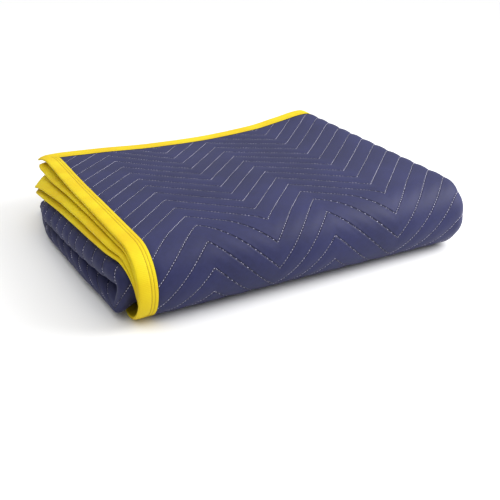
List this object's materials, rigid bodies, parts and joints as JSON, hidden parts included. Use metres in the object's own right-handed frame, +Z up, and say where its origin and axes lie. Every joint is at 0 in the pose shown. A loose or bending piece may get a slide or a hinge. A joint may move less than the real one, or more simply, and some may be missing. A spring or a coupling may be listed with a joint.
{
  "type": "moving blanket",
  "caption": "Quilted moving blanket with a bound edge, folded into a flat bundle with loops of cloth showing at one end.",
  "frame": {"origin": "middle of the folded bundle's outline, on the surface it lies on", "axes": "+Z up, +X along the bundle's length towards the closed end, -Y towards the rounded front fold"},
  "size_m": [0.535, 0.436, 0.1023],
  "materials": {
    "navy_cloth": "woven quilted cloth",
    "yellow_tape": "ribbed woven tape"
  },
  "bodies": {
    "root": {"pad": "navy_cloth", "binding": "yellow_tape"}
  },
  "joints": []
}
